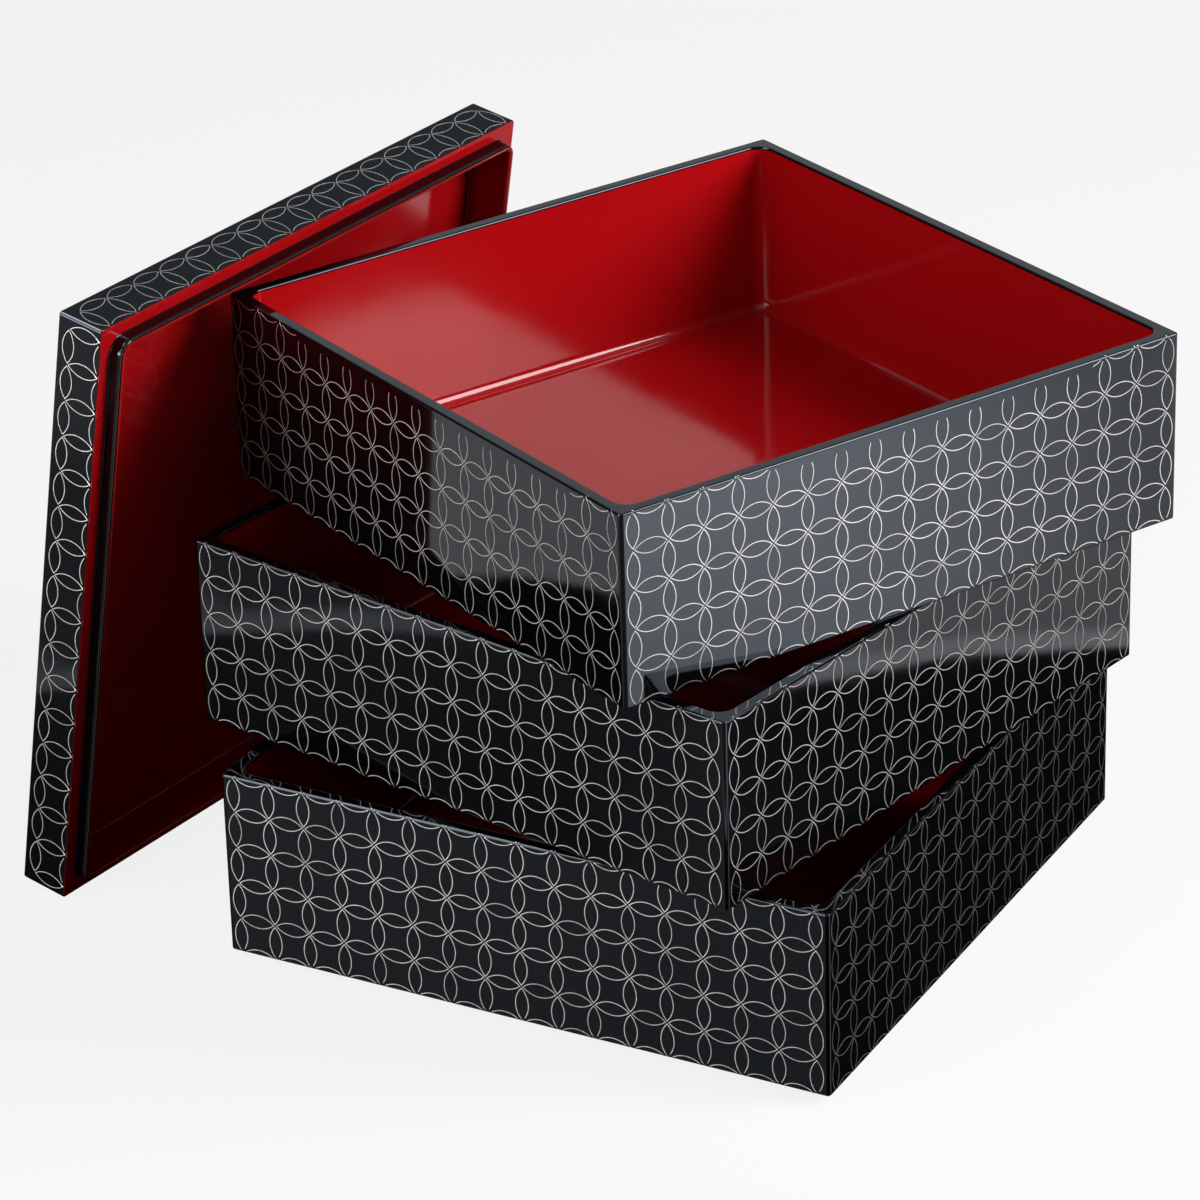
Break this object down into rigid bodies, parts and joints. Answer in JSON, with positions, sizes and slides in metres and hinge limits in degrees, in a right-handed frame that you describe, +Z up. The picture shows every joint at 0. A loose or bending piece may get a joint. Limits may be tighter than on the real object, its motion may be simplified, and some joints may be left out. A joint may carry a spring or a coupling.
{
  "type": "stacking lacquer box",
  "caption": "Square stacking food box in black and vermilion lacquer, its tiers turned on one another and its lid leaning beside them, with a fine interlocking-circle print.",
  "frame": {"origin": "on the table, under the middle of the bottom tier, in the plane of its foot ring's face", "axes": "+Z up; the bottom tier's walls run along X and Y; -Y is the front; the lid stands on the -X side"},
  "size_m": [0.3119, 0.2608, 0.195],
  "materials": {
    "bare_core": "moulded, matt",
    "black_lacquer": "polished black lacquer",
    "vermilion_lacquer": "polished vermilion lacquer"
  },
  "bodies": {
    "bottom_tier": {"bottom_tier_core": "bare_core", "bottom_tier_black_lacquer": "black_lacquer", "bottom_tier_red_lacquer": "vermilion_lacquer"},
    "middle_tier": {"middle_tier_core": "bare_core", "middle_tier_black_lacquer": "black_lacquer", "middle_tier_red_lacquer": "vermilion_lacquer"},
    "top_tier": {"top_tier_core": "bare_core", "top_tier_black_lacquer": "black_lacquer", "top_tier_red_lacquer": "vermilion_lacquer"},
    "lid": {"lid_core": "bare_core", "lid_black_lacquer": "black_lacquer", "lid_lip_black_lacquer": "black_lacquer", "lid_red_lacquer": "vermilion_lacquer"}
  },
  "joints": [
    {"name": "middle_tier_lift", "type": "slide", "parent": "bottom_tier", "child": "middle_tier", "axis": [0.9305, -0.1308, 0.342], "range_m": [0, 0.16]},
    {"name": "top_tier_lift", "type": "slide", "parent": "middle_tier", "child": "top_tier", "axis": [0.9305, -0.1308, 0.342], "range_m": [0, 0.16]},
    {"name": "lid_tip", "type": "hinge", "parent": "bottom_tier", "child": "lid", "pos_m": [-0.16389, 0.00939, 0], "axis": [-0.1392, -0.9903, 0], "range_deg": [0, 99]}
  ]
}
